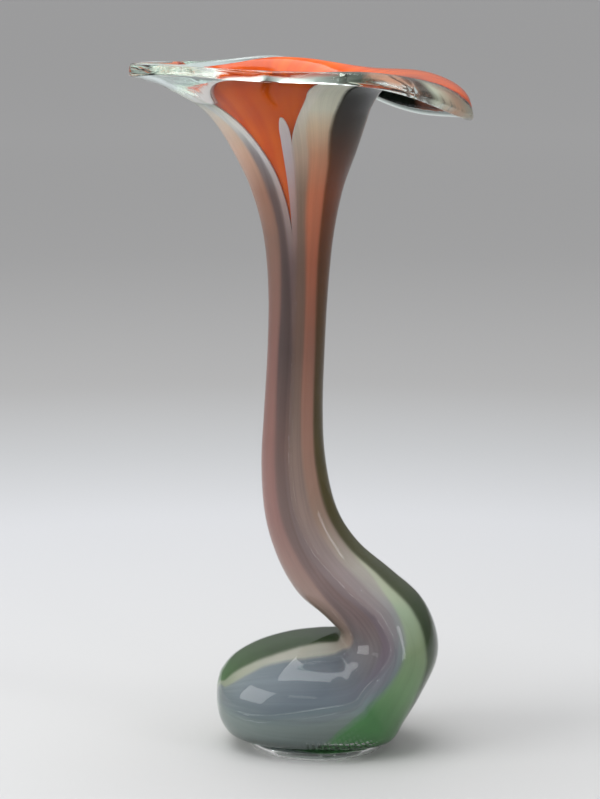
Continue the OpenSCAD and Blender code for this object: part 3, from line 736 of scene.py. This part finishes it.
# under the lobe the runs have their own colours, elsewhere those of the canes
underDegrees = (aA - 200) % 360 + 200
under = np.stack([np.interp(underDegrees, lobeRuns[:, 0], lobeShades[:, k]) for k in range(3)], -1)
isUnder = np.exp(-(turn(aA, colourRuns["underMiddle"]) / colourRuns["underWidth"]) ** 6)[..., None]
shadesA = colourAt(tA, aA) * (1 - isUnder) + under * isUnder
shadesB = np.broadcast_to(np.array(colourRuns["orange"]), shadesA.shape)
shades = roundTheLip(shadesA, shadesB, shadesA[:1], shadesB[:1])
runs = roundTheLip(runA, runB, runA[:1], runB[:1])
uvA, uvB = uvGrid(tA, aA), uvGrid(tB, aB)
rimLip = meshFromGrid("rimLipClear", profile, closeRows=True, closeColumns=True,
                      uv=roundTheLip(uvA, uvB, uvA[:1], uvB[:1]), colour=asColour(shades, runs))
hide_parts("rim_lip")

foot = dict(radius=33, height=3.97, edge=1.6, around=144, bubbleAt=(5, -28.9, 2), bubbleHalf=(4.4, 2.2, 1.5))
edgeArc = np.radians(np.linspace(0, 90, 7))
r, h, e = foot["radius"], foot["height"], foot["edge"]
footProfile = np.concatenate([
    np.stack([np.linspace(0, r - e, 12), np.zeros(12)], 1)[:-1],
    np.stack([r - e + e * np.sin(edgeArc), e - e * np.cos(edgeArc)], 1),
    np.stack([r - e + e * np.cos(edgeArc), h - e + e * np.sin(edgeArc)], 1),
    np.stack([np.linspace(r - e, 0, 12), np.full(12, h)], 1)[1:]])
around = np.linspace(0, tau, foot["around"] + 1)[:-1]
footTurned = np.stack([footProfile[:, :1] * np.cos(around), footProfile[:, :1] * np.sin(around),
                       np.broadcast_to(footProfile[:, 1:], (len(footProfile), len(around)))], -1)
footPiece = meshFromGrid("footClear", footTurned[::-1], closeColumns=True, firstPole=True, lastPole=True)

# a bubble of air caught in the foot: an ellipsoid, wound the opposite way to the foot's skin
tall = np.radians(np.linspace(-90, 90, 17))[:, None]
spin = np.linspace(0, tau, 49)[:-1]
sphere = np.stack([np.cos(tall) * np.cos(spin), np.cos(tall) * np.sin(spin), np.sin(tall) * np.ones(48)], -1)
bubble = meshFromGrid("bubble", sphere * foot["bubbleHalf"] + foot["bubbleAt"], closeColumns=True,
                      firstPole=True, lastPole=True)
joined = bmesh.new()
joined.from_mesh(footPiece.data)
joined.from_mesh(bubble.data)
joined.to_mesh(footPiece.data)
joined.free()
bpy.data.objects.remove(bubble)
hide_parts("foot")

casing.data.materials.append(clearGlass("casingGlass", (0.985, 0.995, 0.99), 0.1, ior=1.3))
rimLip.data.materials.append(clearGlass("lipGlass", (0.8, 0.9, 0.865), 0.4, ior=1.42, finer=70, runs=True))
footPiece.data.materials.append(clearGlass("footGlass", (0.95, 0.98, 0.965), 0.3, finer=60))
print("vase: lip, foot and clear glass done")

# a pale round floor, paler near the vase
ground = dict(radius=9.0, rings=24, firstRing=0.2, around=64, stops=[
    (0.0, (0.55, 0.55, 0.545)), (0.06, (0.57, 0.58, 0.6)), (0.085, (0.49, 0.5, 0.51)),
    (0.115, (0.42, 0.42, 0.42)), (0.2, (0.42, 0.42, 0.42)), (0.34, (0.5, 0.5, 0.5)),
    (1.0, (0.52, 0.52, 0.52))])
floorRadii = np.geomspace(ground["firstRing"], ground["radius"], ground["rings"])
floorRadii = np.concatenate([[0], floorRadii])[:, None]
floorAngles = np.linspace(0, tau, ground["around"] + 1)[:-1]
floorPoints = np.stack([floorRadii * np.cos(floorAngles), floorRadii * np.sin(floorAngles),
                        0 * floorRadii * floorAngles], -1) / mm
floor = meshFromGrid("floor", floorPoints[::-1], closeColumns=True, lastPole=True, standing=True)
tree = Tree("paleFloor")
where = tree.add("ShaderNodeTexCoord", None, None, "Object")
distance = tree.add("ShaderNodeVectorMath", dict(operation="LENGTH"), {0: where}, "Value")
tone = tree.add("ShaderNodeValToRGB", dict(stops=ground["stops"]), {0: distance / ground["radius"]})
grain = noise(tree, where, 3.0, 0.5, scale=350.0)
bump = tree.add("ShaderNodeBump", None, {"Height": grain, "Strength": 0.1, "Distance": 0.0003})
shader = tree.add("ShaderNodeBsdfPrincipled", None, {
    "Base Color": tone, "Roughness": 0.55 + (grain - 0.5) * 0.1, "Normal": bump, "Specular IOR Level": 0.2})
floor.data.materials.append(tree.finish(shader))

studio = dict(strength=0.78, overhead=1.0, horizon=0.3, frontDark=0.72, panels=[
    # name, place, aimed at, size, power
    ("overPanel", (-0.2, 0.1, 1.6), (0, 0, 0.1), (1.3, 0.9), 18),
    ("leftWindow", (-1.6, -0.6, 0.95), (0, 0, 0.15), (1.1, 0.9), 16),
    ("rightStrip", (1.25, -0.9, 0.75), (0, 0, 0.15), (0.2, 0.9), 4),
    ("frontWindow", (-0.62, -1.25, 1.05), (0, 0, 0.05), (0.5, 0.16), 0.5),
    ("smallBulb", (0.42, -0.9, 1.0), (0, 0, 0.12), (0.045, 0.03), 0.25)])

# a room that is pale above and at the sides and darker behind the camera
room = Tree("studio", bpy.data.worlds)
heading = room.add("ShaderNodeTexCoord", None, None, "Generated")
up = room.add("ShaderNodeSeparateXYZ", None, {0: heading}, "Z")
ahead = room.add("ShaderNodeSeparateXYZ", None, {0: heading}, "Y")
near = room.add("ShaderNodeMapRange", dict(interpolation_type="SMOOTHSTEP"), {
    0: ahead, 1: -0.15, 2: -0.8, 3: 0.0, 4: studio["frontDark"]})
high = room.add("ShaderNodeMapRange", dict(interpolation_type="SMOOTHSTEP"), {
    0: up, 1: 0.0, 2: 0.7, 3: studio["horizon"], 4: studio["overhead"]})
level = high * (1 - near)
air = room.add("ShaderNodeCombineColor", None, {0: level, 1: level, 2: level * 1.01})
sky = room.add("ShaderNodeBackground", None, {"Color": air, "Strength": studio["strength"]})
room.finish(sky, "ShaderNodeOutputWorld")
bpy.context.scene.world = room.material


def softbox(name, place, target, size, power):
    # a rectangular lamp that faces its target
    light = bpy.data.lights.new(name, "AREA")
    light.shape, light.size, light.size_y = "RECTANGLE", size[0], size[1]
    light.energy = power
    lamp = bpy.data.objects.new(name, light)
    bpy.context.collection.objects.link(lamp)
    lamp.location = place
    lamp.rotation_euler = (Vector(target) - Vector(place)).to_track_quat("-Z", "Y").to_euler()


for name, place, target, size, power in studio["panels"]:
    softbox(name, place, target, size, power)

view = dict(lens=150, sensor=36, place=(-0.0085, -1.5955, 0.46), tip=79.8)
camera = bpy.data.cameras.new("camera")
camera.lens, camera.sensor_width = view["lens"], view["sensor"]
eye = bpy.data.objects.new("camera", camera)
bpy.context.collection.objects.link(eye)
eye.location = view["place"]
eye.rotation_euler = (radians(view["tip"]), 0, 0)
bpy.context.scene.camera = eye
bpy.context.scene.view_settings.view_transform = "Standard"
print("vase: floor, light and camera ready")
